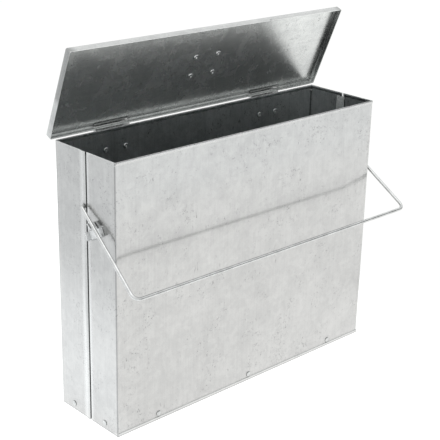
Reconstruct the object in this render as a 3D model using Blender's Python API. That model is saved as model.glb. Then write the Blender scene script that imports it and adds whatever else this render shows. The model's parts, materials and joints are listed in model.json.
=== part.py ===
"""Slim galvanised sheet-steel feed box with a hinged tray lid and a wire bail.

The box is a tall, narrow bin of two folded half shells that meet on the middle of its ends.
A folded base pan closes the bottom. A tray-shaped lid turns on two butt hinges behind the back
wall and carries a small ring pull. A wire bail turns in the end walls and rests on two stops.

Units are metres, +Z is up, +X runs along the box and -Y is its front.
The origin is the centre of the base, on the surface that the box stands on.
The scene shows the lid held open and the bail resting on its stops.
"""

import math

import bmesh
import bpy
from mathutils import Vector

MM = 0.001

# ---------------------------------------------------------------- driving dimensions
BOX_WIDTH = 506 * MM
BOX_DEPTH = 130 * MM
BOX_HEIGHT = 400 * MM
SHEET = 0.7 * MM
GAP = 0.3 * MM
BEND_RADIUS = 1.6 * MM
HOLE_CUTTER_LENGTH = 8 * MM

# The end walls: the front half stops short of the rear half's folded hem
SEAM_Y = -4 * MM
SEAM_SLIT = 0.8 * MM
SEAM_HEM_WIDTH = 8.4 * MM
SEAM_HEM_RAISE = 1.1 * MM
SEAM_STRIP_WIDTH = 16 * MM

TOP_HEM_HEIGHT = 4.5 * MM
BOTTOM_HEM_HEIGHT = 4.6 * MM
BOTTOM_HEM_RAISE = 1.2 * MM
FRONT_HEM_INSET = 1.5 * MM
REAR_HEM_INSET = 2 * MM
PAN_FLANGE_HEIGHT = 16 * MM

# Lid, given as it lies when shut
LID_OPEN_ANGLE = math.radians(68.2)
LID_SIDE_OVERHANG = 7 * MM
LID_END_OVERHANG = 4 * MM
LID_FLANGE = 10.2 * MM
LID_HEM_HEIGHT = 4 * MM
LID_TOP_Z = BOX_HEIGHT + 2.35 * MM
HINGE_AXIS_Y = BOX_DEPTH / 2 + 9.15 * MM
HINGE_AXIS_Z = BOX_HEIGHT - 2 * MM

# Butt hinges
HINGE_CENTRE_X = 151 * MM
HINGE_LENGTH = 60 * MM
LEAF_SHEET = 1.0 * MM
CURL_RADIUS = 2.8 * MM
PIN_RADIUS = 2 * MM
KNUCKLE_COUNT = 5
KNUCKLE_GAP = 0.4 * MM
BODY_LEAF_BOTTOM = 352 * MM
BODY_LEAF_CRANK = 384 * MM
LID_LEAF_REACH = 14 * MM
CURL_SWEEP = math.radians(285)
NECK_RUN = 12 * MM
NECK_RISE = 5 * MM
NECK_RADIUS = 2.5 * MM
NOTCH_CLEARANCE = 1.5 * MM
HINGE_RIVET_SPACING = 35 * MM
HINGE_RIVET_Z = 369.5 * MM

# Ring pull on top of the lid
PULL_CENTRE_FROM_REAR = 72 * MM
PULL_PLATE_SIZE = (58 * MM, 46 * MM)
PULL_PLATE_SHEET = 1.0 * MM
PULL_RIVET_SPACING = (43 * MM, 32 * MM)
RING_WIRE = 4 * MM
RING_WIDTH = 29 * MM
RING_REACH = 26 * MM
RING_AXIS_OFFSET = 8 * MM
RING_BEND_RADII = (5 * MM, 11 * MM)
PULL_PLATE_CORNER = 5 * MM
BRIDGE_LENGTH = 16 * MM

# Bail of round wire
WIRE = 5 * MM
BAIL_PIVOT_Z = 324.5 * MM
BAIL_REACH = 127.8 * MM
BAIL_DROP = 88.5 * MM
BAIL_PIVOT_HALF_WIDTH = 259 * MM
BAIL_CORNER_HALF_WIDTH = 271.6 * MM
BAIL_INNER_END_X = 246.5 * MM
BAIL_INNER_END_LENGTH = 9 * MM
BAIL_HOLE_RADIUS = 3.1 * MM
BAIL_BEND_RADII = (3.6 * MM, 4.2 * MM, 10 * MM)
BAIL_ARM = Vector((-BAIL_REACH, -BAIL_DROP)).normalized()
BAIL_UNDER = Vector((-BAIL_ARM.y, BAIL_ARM.x))

# Folded clips that hold the bail up; places and directions are (y, z) in the plane of the end wall
STOP_SHEET = 1.2 * MM
STOP_REST_START = 26 * MM
STOP_REST_LENGTH = 9 * MM
STOP_ALONG = Vector((-30, 15)).normalized()
STOP_REAR = Vector((-10 * MM, 284.5 * MM))
STOP_LENGTH = 33.5 * MM
STOP_WIDTH = 12 * MM
STOP_LUG_HEIGHT = 7 * MM
STOP_TAB_HEIGHT = 5 * MM
STOP_REST_HEIGHT = 12 * MM
STOP_WEB = (10 * MM, 24 * MM)
STOP_RIVET_PLACE = STOP_REAR + STOP_ALONG * 27 * MM

# Rivets
RIVET_SHANK = 1.9 * MM
RIVET_HOLE = 2.2 * MM
BASE_RIVET_Z = 9.5 * MM
FRONT_RIVET_SPACING = 179 * MM
END_RIVET_Y = 36 * MM
# Head radius and height, tail radius and height, and the radius of the bore in the tail
BASE_RIVET = (4.0 * MM, 1.2 * MM, 3.0 * MM, 1.0 * MM, 0)
STOP_RIVET = (3.6 * MM, 1.1 * MM, 3.4 * MM, 1.0 * MM, 0)
HINGE_RIVET = (3.8 * MM, 1.3 * MM, 4.0 * MM, 1.2 * MM, 1.2 * MM)
PULL_RIVET = (4.2 * MM, 1.4 * MM, 4.4 * MM, 1.4 * MM, 1.4 * MM)

ROUND_SEGMENTS = 16
HALF_WIDTH = BOX_WIDTH / 2
HALF_DEPTH = BOX_DEPTH / 2


# ---------------------------------------------------------------- scene and mesh helpers
def clear_scene():
    for item in list(bpy.data.objects):
        bpy.data.objects.remove(item, do_unlink=True)


def make_steel(name, colour, roughness):
    """A Principled metal of its own for one piece."""
    material = bpy.data.materials.new(name)
    material.use_nodes = True
    shader = material.node_tree.nodes["Principled BSDF"]
    shader.inputs["Base Color"].default_value = (*colour, 1.0)
    shader.inputs["Roughness"].default_value = roughness
    shader.inputs["Metallic"].default_value = 1.0
    return material


def add_object(name, data):
    item = bpy.data.objects.new(name, data)
    bpy.context.scene.collection.objects.link(item)
    return item


def finish(item, colour, roughness, smooth=False, parent=None, location=None):
    """Give a piece its material, its shading, its parent and its place under it."""
    if item.data.materials:
        item.data.materials[0] = make_steel(item.name, colour, roughness)
    else:
        item.data.materials.append(make_steel(item.name, colour, roughness))
    if smooth and item.type == "MESH":
        item.data.shade_smooth()
        item.data.set_sharp_from_angle(angle=math.radians(35))
    item.parent = parent
    if location is not None:
        item.location = location
    return item


def solid_from_bmesh(name, bm):
    bmesh.ops.recalc_face_normals(bm, faces=bm.faces)
    mesh = bpy.data.meshes.new(name)
    bm.to_mesh(mesh)
    bm.free()
    return add_object(name, mesh)


def skin_loops(name, loops):
    """A closed solid through loops of equal length, capped at both ends."""
    bm = bmesh.new()
    rings = [[bm.verts.new(point) for point in loop] for loop in loops]
    for lower, upper in zip(rings, rings[1:]):
        count = len(lower)
        for i in range(count):
            j = (i + 1) % count
            bm.faces.new((lower[i], lower[j], upper[j], upper[i]))
    bm.faces.new(reversed(rings[0]))
    bm.faces.new(rings[-1])
    return solid_from_bmesh(name, bm)


def prism(name, outline, low, high, axis):
    """Extrude a flat outline along X (outline y, z), Y (outline x, z) or Z (outline x, y)."""
    def lift(point, height):
        if axis == "X":
            return Vector((height, point[0], point[1]))
        if axis == "Y":
            return Vector((point[0], height, point[1]))
        return Vector((point[0], point[1], height))
    return skin_loops(name, [[lift(p, low) for p in outline], [lift(p, high) for p in outline]])


def box(name, low, high):
    corners = [(low[0], low[1]), (high[0], low[1]), (high[0], high[1]), (low[0], high[1])]
    return prism(name, corners, low[2], high[2], "Z")


def lathe(name, profile, segments=ROUND_SEGMENTS):
    """Turn a (radius, height) profile about Z; it starts and ends on the axis."""
    bm = bmesh.new()
    rings = []
    for radius, height in profile:
        if radius == 0:
            rings.append([bm.verts.new((0, 0, height))])
            continue
        ring = []
        for i in range(segments):
            angle = 2 * math.pi * i / segments
            ring.append(bm.verts.new((radius * math.cos(angle), radius * math.sin(angle), height)))
        rings.append(ring)
    for upper, lower in zip(rings, rings[1:]):
        for i in range(segments):
            j = (i + 1) % segments
            corners = [upper[i % len(upper)], upper[j % len(upper)],
                       lower[j % len(lower)], lower[i % len(lower)]]
            bm.faces.new(list(dict.fromkeys(corners)))
    return solid_from_bmesh(name, bm)


def rod(name, centre, radius, length, axis):
    """A plain round cutter or pin, centred on a point."""
    item = lathe(name, [(0, length / 2), (radius, length / 2), (radius, -length / 2), (0, -length / 2)])
    if axis == "X":
        turn = Vector((0, 0, 1)).rotation_difference(Vector((1, 0, 0))).to_matrix().to_4x4()
        item.data.transform(turn)
    elif axis == "Y":
        turn = Vector((0, 0, 1)).rotation_difference(Vector((0, 1, 0))).to_matrix().to_4x4()
        item.data.transform(turn)
    item.location = centre
    return item


def combine(target, tools, operation):
    """Join tools to a piece, or cut them from it, and remove the tools."""
    for tool in tools:
        modifier = target.modifiers.new(tool.name, "BOOLEAN")
        modifier.object = tool
        modifier.operation = operation
        modifier.solver = "EXACT"
    depsgraph = bpy.context.evaluated_depsgraph_get()
    result = bpy.data.meshes.new_from_object(target.evaluated_get(depsgraph))
    target.modifiers.clear()
    target.data = result
    for tool in tools:
        bpy.data.objects.remove(tool, do_unlink=True)
    return target


def arc(centre, radius, start, end, segments):
    """Points of an arc from start to end, angles in radians."""
    points = []
    for i in range(segments + 1):
        angle = start + (end - start) * i / segments
        points.append(Vector((centre[0] + radius * math.cos(angle), centre[1] + radius * math.sin(angle))))
    return points


def round_corners(points, radii, segments=4):
    """Replace the inner corners of an open path by arcs; works in two or three dimensions."""
    points = [Vector(p) for p in points]
    path = [points[0]]
    for before, corner, after, radius in zip(points, points[1:], points[2:], radii):
        back = (before - corner).normalized()
        ahead = (after - corner).normalized()
        half = back.angle(ahead) / 2
        reach = radius / math.tan(half)
        centre = corner + (back + ahead).normalized() * (radius / math.sin(half))
        start = corner + back * reach - centre
        end = corner + ahead * reach - centre
        sweep = start.angle(end)
        for i in range(segments + 1):
            t = i / segments
            point = (start * math.sin((1 - t) * sweep) + end * math.sin(t * sweep)) / math.sin(sweep)
            path.append(centre + point)
    path.append(points[-1])
    return path


def thick_path(points, thickness):
    """Outline of a strip of even thickness that follows a flat path."""
    left = []
    right = []
    for i, point in enumerate(points):
        ahead = points[min(i + 1, len(points) - 1)] - point
        behind = point - points[max(i - 1, 0)]
        if ahead.length == 0:
            ahead = behind
        if behind.length == 0:
            behind = ahead
        along = (ahead.normalized() + behind.normalized()).normalized()
        normal = Vector((-along.y, along.x))
        stretch = 1 / max(normal.dot(Vector((-behind.y, behind.x)).normalized()), 0.5)
        left.append(point + normal * thickness / 2 * stretch)
        right.append(point - normal * thickness / 2 * stretch)
    return left + right[::-1]


def rounded_rectangle(width, depth, radius, centre_y=0.0, segments=3):
    points = []
    corners = [(1, 1, 0), (-1, 1, 1), (-1, -1, 2), (1, -1, 3)]
    for side_x, side_y, quarter in corners:
        centre = (side_x * (width / 2 - radius), centre_y + side_y * (depth / 2 - radius))
        start = quarter * math.pi / 2
        points += arc(centre, radius, start, start + math.pi / 2, segments)
    return points


def tray(name, width, depth, profile, corner_radius, centre_y=0.0):
    """A pan or lid: rounded rectangles at each (inset, z) of the profile, closed at both ends."""
    loops = []
    for inset, z in profile:
        radius = max(corner_radius - inset, 0.2 * MM)
        outline = rounded_rectangle(width - 2 * inset, depth - 2 * inset, radius, centre_y)
        loops.append([Vector((p.x, p.y, z)) for p in outline])
    return skin_loops(name, loops)


def wire(name, path, diameter, closed=False, sides=4):
    """Round wire along a path, as a bevelled curve with filled ends."""
    curve = bpy.data.curves.new(name, "CURVE")
    curve.dimensions = "3D"
    curve.bevel_depth = diameter / 2
    curve.bevel_resolution = sides
    curve.use_fill_caps = True
    spline = curve.splines.new("POLY")
    spline.points.add(len(path) - 1)
    for point, place in zip(spline.points, path):
        point.co = (*place, 1.0)
    spline.use_cyclic_u = closed
    return add_object(name, curve)


def holes(centres, radius, axis):
    """Cutters for round holes through thin sheet."""
    return [rod(f"hole_{i}", centre, radius, HOLE_CUTTER_LENGTH, axis) for i, centre in enumerate(centres)]


# ---------------------------------------------------------------- where the fasteners sit
def front_rivet_xs():
    return [-FRONT_RIVET_SPACING, 0.0, FRONT_RIVET_SPACING]


def hinge_rivet_xs(side):
    return [side * HINGE_CENTRE_X + step * HINGE_RIVET_SPACING / 2 for step in (-1, 1)]


# ---------------------------------------------------------------- the box
def make_front_shell():
    """Front panel with the front halves of both end walls, folded from one sheet."""
    edge = SEAM_Y - SEAM_SLIT / 2
    r = BEND_RADIUS
    outer = round_corners([(-HALF_WIDTH, edge), (-HALF_WIDTH, -HALF_DEPTH),
                           (HALF_WIDTH, -HALF_DEPTH), (HALF_WIDTH, edge)], [r, r])
    x = HALF_WIDTH - SHEET
    y = HALF_DEPTH - SHEET
    inner = round_corners([(x, edge), (x, -y), (-x, -y), (-x, edge)], [r - SHEET, r - SHEET])
    shell = prism("front_shell", outer + inner, 0, BOX_HEIGHT, "Z")
    hem_x = HALF_WIDTH - FRONT_HEM_INSET
    overlap = SHEET / 2
    top_hem = box("top_hem", (-hem_x, -HALF_DEPTH - SHEET, BOX_HEIGHT - TOP_HEM_HEIGHT),
                  (hem_x, -HALF_DEPTH + overlap, BOX_HEIGHT))
    raised = -HALF_DEPTH - BOTTOM_HEM_RAISE
    chamfer = 0.5 * MM
    bottom_outline = [(-HALF_DEPTH + overlap, 0), (-HALF_DEPTH + overlap, BOTTOM_HEM_HEIGHT),
                      (raised + chamfer, BOTTOM_HEM_HEIGHT), (raised, BOTTOM_HEM_HEIGHT - chamfer),
                      (raised, chamfer), (raised + chamfer, 0)]
    bottom_hem = prism("bottom_hem", bottom_outline, -hem_x, hem_x, "X")
    combine(shell, [top_hem, bottom_hem], "UNION")
    cutters = holes([(x, -HALF_DEPTH, BASE_RIVET_Z) for x in front_rivet_xs()], RIVET_HOLE, "Y")
    cutters += holes([(s * HALF_WIDTH, -END_RIVET_Y, BASE_RIVET_Z) for s in (-1, 1)], RIVET_HOLE, "X")
    cutters += holes([(s * HALF_WIDTH, *STOP_RIVET_PLACE) for s in (-1, 1)], RIVET_HOLE, "X")
    combine(shell, cutters, "DIFFERENCE")
    return finish(shell, (0.62, 0.63, 0.63), 0.38)


def make_rear_shell():
    """Back panel with the rear halves of both end walls and their folded front hems."""
    start = SEAM_Y + SEAM_SLIT / 2
    hem_end = start + SEAM_HEM_WIDTH
    hem_x = HALF_WIDTH + SEAM_HEM_RAISE
    r = BEND_RADIUS
    back = round_corners([(HALF_WIDTH, hem_end), (HALF_WIDTH, HALF_DEPTH),
                          (-HALF_WIDTH, HALF_DEPTH), (-HALF_WIDTH, hem_end)], [r, r])
    x = HALF_WIDTH - SHEET
    y = HALF_DEPTH - SHEET
    inner = round_corners([(-x, start), (-x, y), (x, y), (x, start)], [r - SHEET, r - SHEET])
    right_hem = [Vector((hem_x, start)), Vector((hem_x, hem_end))]
    left_hem = [Vector((-hem_x, hem_end)), Vector((-hem_x, start))]
    shell = prism("rear_shell", right_hem + back + left_hem + inner, 0, BOX_HEIGHT, "Z")
    hem_half = HALF_WIDTH - REAR_HEM_INSET
    top_hem = box("top_hem", (-hem_half, HALF_DEPTH - 2 * SHEET, BOX_HEIGHT - TOP_HEM_HEIGHT),
                  (hem_half, HALF_DEPTH - SHEET / 2, BOX_HEIGHT))
    combine(shell, [top_hem], "UNION")
    cutters = holes([(x, HALF_DEPTH, BASE_RIVET_Z) for x in front_rivet_xs()], RIVET_HOLE, "Y")
    cutters += holes([(s * HALF_WIDTH, END_RIVET_Y, BASE_RIVET_Z) for s in (-1, 1)], RIVET_HOLE, "X")
    cutters += holes([(s * HALF_WIDTH, 0, BAIL_PIVOT_Z) for s in (-1, 1)], BAIL_HOLE_RADIUS, "X")
    for side in (-1, 1):
        cutters += holes([(x, HALF_DEPTH, HINGE_RIVET_Z) for x in hinge_rivet_xs(side)],
                         RIVET_HOLE, "Y")
    combine(shell, cutters, "DIFFERENCE")
    return finish(shell, (0.60, 0.61, 0.61), 0.38)


def make_base_pan():
    """Floor sheet with its edge turned up all round inside the shells."""
    clearance = SHEET + GAP
    width = BOX_WIDTH - 2 * clearance
    depth = BOX_DEPTH - 2 * clearance
    profile = [(0.4 * MM, 0), (0, 0.4 * MM), (0, PAN_FLANGE_HEIGHT), (SHEET, PAN_FLANGE_HEIGHT),
               (SHEET, SHEET)]
    pan = tray("base_pan", width, depth, profile, BEND_RADIUS)
    cutters = []
    for side in (-1, 1):
        cutters += holes([(x, side * HALF_DEPTH, BASE_RIVET_Z) for x in front_rivet_xs()],
                         RIVET_HOLE, "Y")
        cutters += holes([(s * HALF_WIDTH, side * END_RIVET_Y, BASE_RIVET_Z) for s in (-1, 1)],
                         RIVET_HOLE, "X")
    combine(pan, cutters, "DIFFERENCE")
    return finish(pan, (0.50, 0.51, 0.51), 0.45)


def make_seam_strip(name, side):
    """Backing strip inside an end wall, behind the seam and around the bail's hole."""
    inside = HALF_WIDTH - SHEET - GAP
    low_x, high_x = sorted((side * (inside - SHEET), side * inside))
    half = SEAM_STRIP_WIDTH / 2
    strip = box(name, (low_x, -half, PAN_FLANGE_HEIGHT + 2 * MM), (high_x, half, BOX_HEIGHT - 2 * MM))
    combine(strip, holes([(side * inside, 0, BAIL_PIVOT_Z)], BAIL_HOLE_RADIUS, "X"), "DIFFERENCE")
    return finish(strip, (0.58, 0.59, 0.59), 0.40)


# ---------------------------------------------------------------- rivets
def rivet_profile(grip, head_radius, head_height, tail_radius, tail_height, bore):
    """Domed head above z = 0, shank through the grip, upset tail below; a bore opens the tail."""
    head_base = GAP
    profile = [(0, head_base + head_height)]
    steps = 3
    for i in range(1, steps + 1):
        angle = math.pi / 2 * i / steps
        profile.append((head_radius * math.sin(angle), head_base + head_height * math.cos(angle)))
    profile.append((RIVET_SHANK, head_base))
    profile.append((RIVET_SHANK, -grip - GAP))
    profile.append((tail_radius, -grip - GAP))
    profile.append((tail_radius * 0.9, -grip - GAP - tail_height * 0.7))
    profile.append((tail_radius * 0.7, -grip - GAP - tail_height))
    if bore:
        profile.append((bore, -grip - GAP - tail_height))
        profile.append((bore, -grip - GAP + 0.2 * MM))
        profile.append((0, -grip - GAP + 0.2 * MM))
    else:
        profile.append((0, -grip - GAP - tail_height))
    return profile


def make_rivets(names, places, outward, profile, parent=None):
    """One rivet at each place, head pointing outward; the copies share a mesh."""
    turn = Vector((0, 0, 1)).rotation_difference(Vector(outward)).to_matrix().to_4x4()
    first = lathe(names[0], profile)
    first.data.transform(turn)
    finish(first, (0.66, 0.67, 0.67), 0.32, smooth=True, parent=parent, location=places[0])
    for name, place in zip(names[1:], places[1:]):
        copy = add_object(name, first.data)
        copy.parent = parent
        copy.location = place


def make_base_rivets():
    profile = rivet_profile(2 * SHEET + GAP, *BASE_RIVET)
    for side, word in ((-1, "front"), (1, "rear")):
        names = [f"base_rivet_{word}_{place}" for place in ("left", "middle", "right")]
        places = [(x, side * HALF_DEPTH, BASE_RIVET_Z) for x in front_rivet_xs()]
        make_rivets(names, places, (0, side, 0), profile)
    for side, word in ((-1, "left"), (1, "right")):
        names = [f"base_rivet_{word}_end_front", f"base_rivet_{word}_end_rear"]
        places = [(side * HALF_WIDTH, y, BASE_RIVET_Z) for y in (-END_RIVET_Y, END_RIVET_Y)]
        make_rivets(names, places, (side, 0, 0), profile)


# ---------------------------------------------------------------- bail and its stops
def make_bail():
    """One wire: a hooked end inside each end wall, two splayed arms and the crossbar."""
    def half(side):
        hook = -BAIL_ARM * BAIL_INNER_END_LENGTH
        return [(side * BAIL_INNER_END_X, hook.x, hook.y),
                (side * BAIL_INNER_END_X, 0, 0),
                (side * BAIL_PIVOT_HALF_WIDTH, 0, 0),
                (side * BAIL_CORNER_HALF_WIDTH, -BAIL_REACH, -BAIL_DROP)]
    points = half(-1) + half(1)[::-1]
    inner, eye, corner = BAIL_BEND_RADII
    path = round_corners(points, [inner, eye, corner, corner, eye, inner], segments=5)
    bail = wire("bail_wire", path, WIRE)
    return finish(bail, (0.72, 0.73, 0.73), 0.28, location=(0, 0, BAIL_PIVOT_Z))


def make_bail_stop(name, side):
    """Folded clip on an end wall: base strip, rear lug, front tab and the rest under the arm."""
    wall = HALF_WIDTH + GAP
    across = Vector((-STOP_ALONG.y, STOP_ALONG.x))

    def plate(label, start, direction, length, normal, thickness, low, high):
        """A plate between two heights off the wall; start, direction and normal lie in the wall."""
        corners = [start, start + direction * length,
                   start + direction * length + normal * thickness, start + normal * thickness]
        near, far = sorted((side * (wall + low), side * (wall + high)))
        return prism(label, corners, near, far, "X")

    half_sheet = STOP_SHEET / 2
    inset = 0.1 * MM
    edge = STOP_REAR - across * STOP_WIDTH / 2
    strip = plate(name, edge, STOP_ALONG, STOP_LENGTH, across, STOP_WIDTH, 0, STOP_SHEET)
    lug_start = edge + (STOP_ALONG + across) * inset
    lug_width = STOP_WIDTH - 2 * inset
    lug = plate("lug", lug_start, across, lug_width, STOP_ALONG, STOP_SHEET, half_sheet, STOP_LUG_HEIGHT)
    tab_start = lug_start + STOP_ALONG * (STOP_LENGTH - STOP_SHEET - 2 * inset)
    tab = plate("tab", tab_start, across, lug_width, STOP_ALONG, STOP_SHEET, half_sheet, STOP_TAB_HEIGHT)
    pivot = Vector((0, BAIL_PIVOT_Z))
    touch = pivot + BAIL_ARM * STOP_REST_START + BAIL_UNDER * (WIRE / 2 + GAP)
    rest = plate("rest", touch, BAIL_ARM, STOP_REST_LENGTH, BAIL_UNDER, STOP_SHEET,
                 half_sheet, STOP_REST_HEIGHT)
    root = touch + (BAIL_ARM + BAIL_UNDER) * inset
    web = [root, root + BAIL_ARM * (STOP_REST_LENGTH - 2 * inset),
           STOP_REAR + STOP_ALONG * STOP_WEB[1], STOP_REAR + STOP_ALONG * STOP_WEB[0]]
    near, far = sorted((side * (wall + inset), side * (wall + STOP_SHEET - inset)))
    foot = prism("foot", web, near, far, "X")
    combine(strip, [lug, tab, foot, rest], "UNION")
    combine(strip, holes([(side * wall, *STOP_RIVET_PLACE)], RIVET_HOLE, "X"), "DIFFERENCE")
    return finish(strip, (0.66, 0.67, 0.67), 0.32)


def make_stop_rivets():
    profile = rivet_profile(STOP_SHEET + SHEET + GAP, *STOP_RIVET)
    head = HALF_WIDTH + GAP + STOP_SHEET
    for side, word in ((-1, "left"), (1, "right")):
        make_rivets([f"bail_stop_rivet_{word}"], [(side * head, *STOP_RIVET_PLACE)], (side, 0, 0), profile)


# ---------------------------------------------------------------- lid, shut, about its hinge axis
def shut(x, y, z):
    """A point of the shut lid, measured from the hinge axis."""
    return Vector((x, y - HINGE_AXIS_Y, z - HINGE_AXIS_Z))


def make_lid_axis():
    axis = add_object("lid_hinge_axis", None)
    axis.location = (0, HINGE_AXIS_Y, HINGE_AXIS_Z)
    axis.rotation_euler = (-LID_OPEN_ANGLE, 0, 0)
    return axis


def pull_rivet_places(z):
    rear = HALF_DEPTH + LID_END_OVERHANG
    middle = rear - PULL_CENTRE_FROM_REAR
    dx, dy = PULL_RIVET_SPACING
    return [shut(sx * dx / 2, middle + sy * dy / 2, z) for sy in (-1, 1) for sx in (-1, 1)]


def make_lid_panel(axis):
    """Tray lid with four flanges, a hem inside their free edge and a notch at each hinge."""
    width = BOX_WIDTH + 2 * LID_SIDE_OVERHANG
    depth = BOX_DEPTH + 2 * LID_END_OVERHANG
    top = LID_TOP_Z - HINGE_AXIS_Z
    bottom = top - LID_FLANGE
    hem = 2 * SHEET
    profile = [(0.6 * MM, top), (0, top - 0.6 * MM), (0, bottom), (hem, bottom),
               (hem, bottom + LID_HEM_HEIGHT), (SHEET, bottom + LID_HEM_HEIGHT), (SHEET, top - SHEET)]
    lid = tray("lid_panel", width, depth, profile, 2.5 * MM, centre_y=-HINGE_AXIS_Y)
    rear = HALF_DEPTH + LID_END_OVERHANG
    cutters = []
    notch = HINGE_LENGTH / 2 + NOTCH_CLEARANCE
    for side in (-1, 1):
        centre = side * HINGE_CENTRE_X
        low = shut(centre - notch, rear - 4 * MM, 0)
        high = shut(centre + notch, rear + 2 * MM, 0)
        low.z = bottom - 1 * MM
        high.z = top - SHEET
        cutters.append(box(f"notch_{side}", low, high))
    cutters += holes(pull_rivet_places(LID_TOP_Z), RIVET_HOLE, "Z")
    combine(lid, cutters, "DIFFERENCE")
    return finish(lid, (0.58, 0.59, 0.59), 0.30, parent=axis, location=(0, 0, 0))


def knuckle_spans(first):
    """X spans of every other knuckle of a hinge, starting with the first or the second."""
    pitch = HINGE_LENGTH / KNUCKLE_COUNT
    spans = []
    for i in range(first, KNUCKLE_COUNT, 2):
        low = -HINGE_LENGTH / 2 + i * pitch + (KNUCKLE_GAP / 2 if i > 0 else 0)
        high = -HINGE_LENGTH / 2 + (i + 1) * pitch - (KNUCKLE_GAP / 2 if i < KNUCKLE_COUNT - 1 else 0)
        spans.append((low, high))
    return spans


def make_leaf(name, flat, curl, spans, centre_x):
    """A hinge leaf: a flat plate of full length and a curl on each of its own knuckles."""
    half = HINGE_LENGTH / 2
    leaf = prism(name, thick_path(flat, LEAF_SHEET), centre_x - half, centre_x + half, "X")
    curls = []
    for i, (low, high) in enumerate(spans):
        section = thick_path(curl, LEAF_SHEET)
        curls.append(prism(f"{name}_curl_{i}", section, centre_x + low, centre_x + high, "X"))
    return combine(leaf, curls, "UNION")


def make_body_leaf(name, side):
    """Leaf on the back wall, cranked out to the hinge axis; drawn in the axis's own frame."""
    wall_y = HALF_DEPTH + GAP + LEAF_SHEET / 2 - HINGE_AXIS_Y
    bottom = BODY_LEAF_BOTTOM - HINGE_AXIS_Z
    crank = BODY_LEAF_CRANK - HINGE_AXIS_Z
    start = math.pi
    curl_end = arc((0, 0), CURL_RADIUS, start, start - CURL_SWEEP, 14)
    corners = [(wall_y, crank - NECK_RUN), (wall_y, crank), (-CURL_RADIUS, -NECK_RISE), tuple(curl_end[0])]
    neck = round_corners(corners, [NECK_RADIUS, NECK_RADIUS], segments=3)
    curl = neck[:-1] + curl_end
    flat = [Vector((wall_y, bottom)), Vector((wall_y, crank - 1.5 * MM))]
    leaf = make_leaf(name, flat, curl, knuckle_spans(0), side * HINGE_CENTRE_X)
    rivets = [(x, wall_y, HINGE_RIVET_Z - HINGE_AXIS_Z) for x in hinge_rivet_xs(side)]
    combine(leaf, holes(rivets, RIVET_HOLE, "Y"), "DIFFERENCE")
    return finish(leaf, (0.55, 0.56, 0.56), 0.35, location=(0, HINGE_AXIS_Y, HINGE_AXIS_Z))


def make_lid_leaf(name, side, axis):
    """Leaf under the lid's sheet, curled down behind the pin; drawn as the lid lies shut."""
    plate_end = -(CURL_RADIUS + LEAF_SHEET / 2 + KNUCKLE_GAP)
    flat = [Vector((-LID_LEAF_REACH, CURL_RADIUS)), Vector((plate_end, CURL_RADIUS))]
    curl = [Vector((plate_end - 2 * MM, CURL_RADIUS))]
    curl += arc((0, 0), CURL_RADIUS, math.pi / 2, math.pi / 2 - CURL_SWEEP, 14)
    leaf = make_leaf(name, flat, curl, knuckle_spans(1), side * HINGE_CENTRE_X)
    return finish(leaf, (0.55, 0.56, 0.56), 0.35, parent=axis, location=(0, 0, 0))


def make_hinge_pin(name, side):
    half = HINGE_LENGTH / 2 + 0.5 * MM
    profile = [(0, half), (PIN_RADIUS * 0.7, half), (PIN_RADIUS, half - 0.5 * MM),
               (PIN_RADIUS, -half + 0.5 * MM), (PIN_RADIUS * 0.7, -half), (0, -half)]
    pin = lathe(name, profile)
    pin.rotation_euler = (0, math.pi / 2, 0)
    place = (side * HINGE_CENTRE_X, HINGE_AXIS_Y, HINGE_AXIS_Z)
    return finish(pin, (0.66, 0.67, 0.68), 0.25, smooth=True, location=place)


def make_hinges(axis):
    grip = LEAF_SHEET + GAP + SHEET
    profile = rivet_profile(grip, *HINGE_RIVET)
    head_y = HALF_DEPTH + GAP + LEAF_SHEET
    for side, word in ((-1, "left"), (1, "right")):
        make_body_leaf(f"hinge_{word}_body_leaf", side)
        make_lid_leaf(f"hinge_{word}_lid_leaf", side, axis)
        make_hinge_pin(f"hinge_{word}_pin", side)
        names = [f"hinge_{word}_rivet_outer", f"hinge_{word}_rivet_inner"]
        xs = sorted(hinge_rivet_xs(side), key=abs, reverse=True)
        make_rivets(names, [(x, head_y, HINGE_RIVET_Z) for x in xs], (0, 1, 0), profile)


# ---------------------------------------------------------------- ring pull
def pull_middle():
    """Centre of the pull plate on the shut lid, at the height of the plate's top face."""
    rear = HALF_DEPTH + LID_END_OVERHANG
    return shut(0, rear - PULL_CENTRE_FROM_REAR, LID_TOP_Z + GAP + PULL_PLATE_SHEET)


def ring_pivot():
    return pull_middle() + Vector((0, -RING_AXIS_OFFSET, GAP + RING_WIRE / 2))


def make_pull_plate(axis):
    """Riveted plate with a half-round bridge over the ring's straight bar."""
    middle = pull_middle()
    width, depth = PULL_PLATE_SIZE
    outline = rounded_rectangle(width, depth, PULL_PLATE_CORNER, centre_y=middle.y)
    plate = prism("lid_pull_plate", outline, middle.z - PULL_PLATE_SHEET, middle.z, "Z")
    pivot = ring_pivot()
    inner = RING_WIRE / 2 + GAP
    outer = inner + PULL_PLATE_SHEET
    foot = middle.z - PULL_PLATE_SHEET / 2
    half = BRIDGE_LENGTH / 2
    over = [Vector((pivot.y + outer, foot))]
    over += arc((pivot.y, pivot.z), outer, 0, math.pi, 10)
    over += [Vector((pivot.y - outer, foot))]
    bridge = prism("bridge", over, -half, half, "X")
    combine(plate, [bridge], "UNION")
    under = [Vector((pivot.y + inner, middle.z))]
    under += arc((pivot.y, pivot.z), inner, 0, math.pi, 10)
    under += [Vector((pivot.y - inner, middle.z))]
    tunnel = prism("tunnel", under, -half - 1 * MM, half + 1 * MM, "X")
    cutters = [tunnel] + holes(pull_rivet_places(LID_TOP_Z + GAP), RIVET_HOLE, "Z")
    combine(plate, cutters, "DIFFERENCE")
    return finish(plate, (0.60, 0.61, 0.61), 0.32, parent=axis, location=(0, 0, 0))


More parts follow.
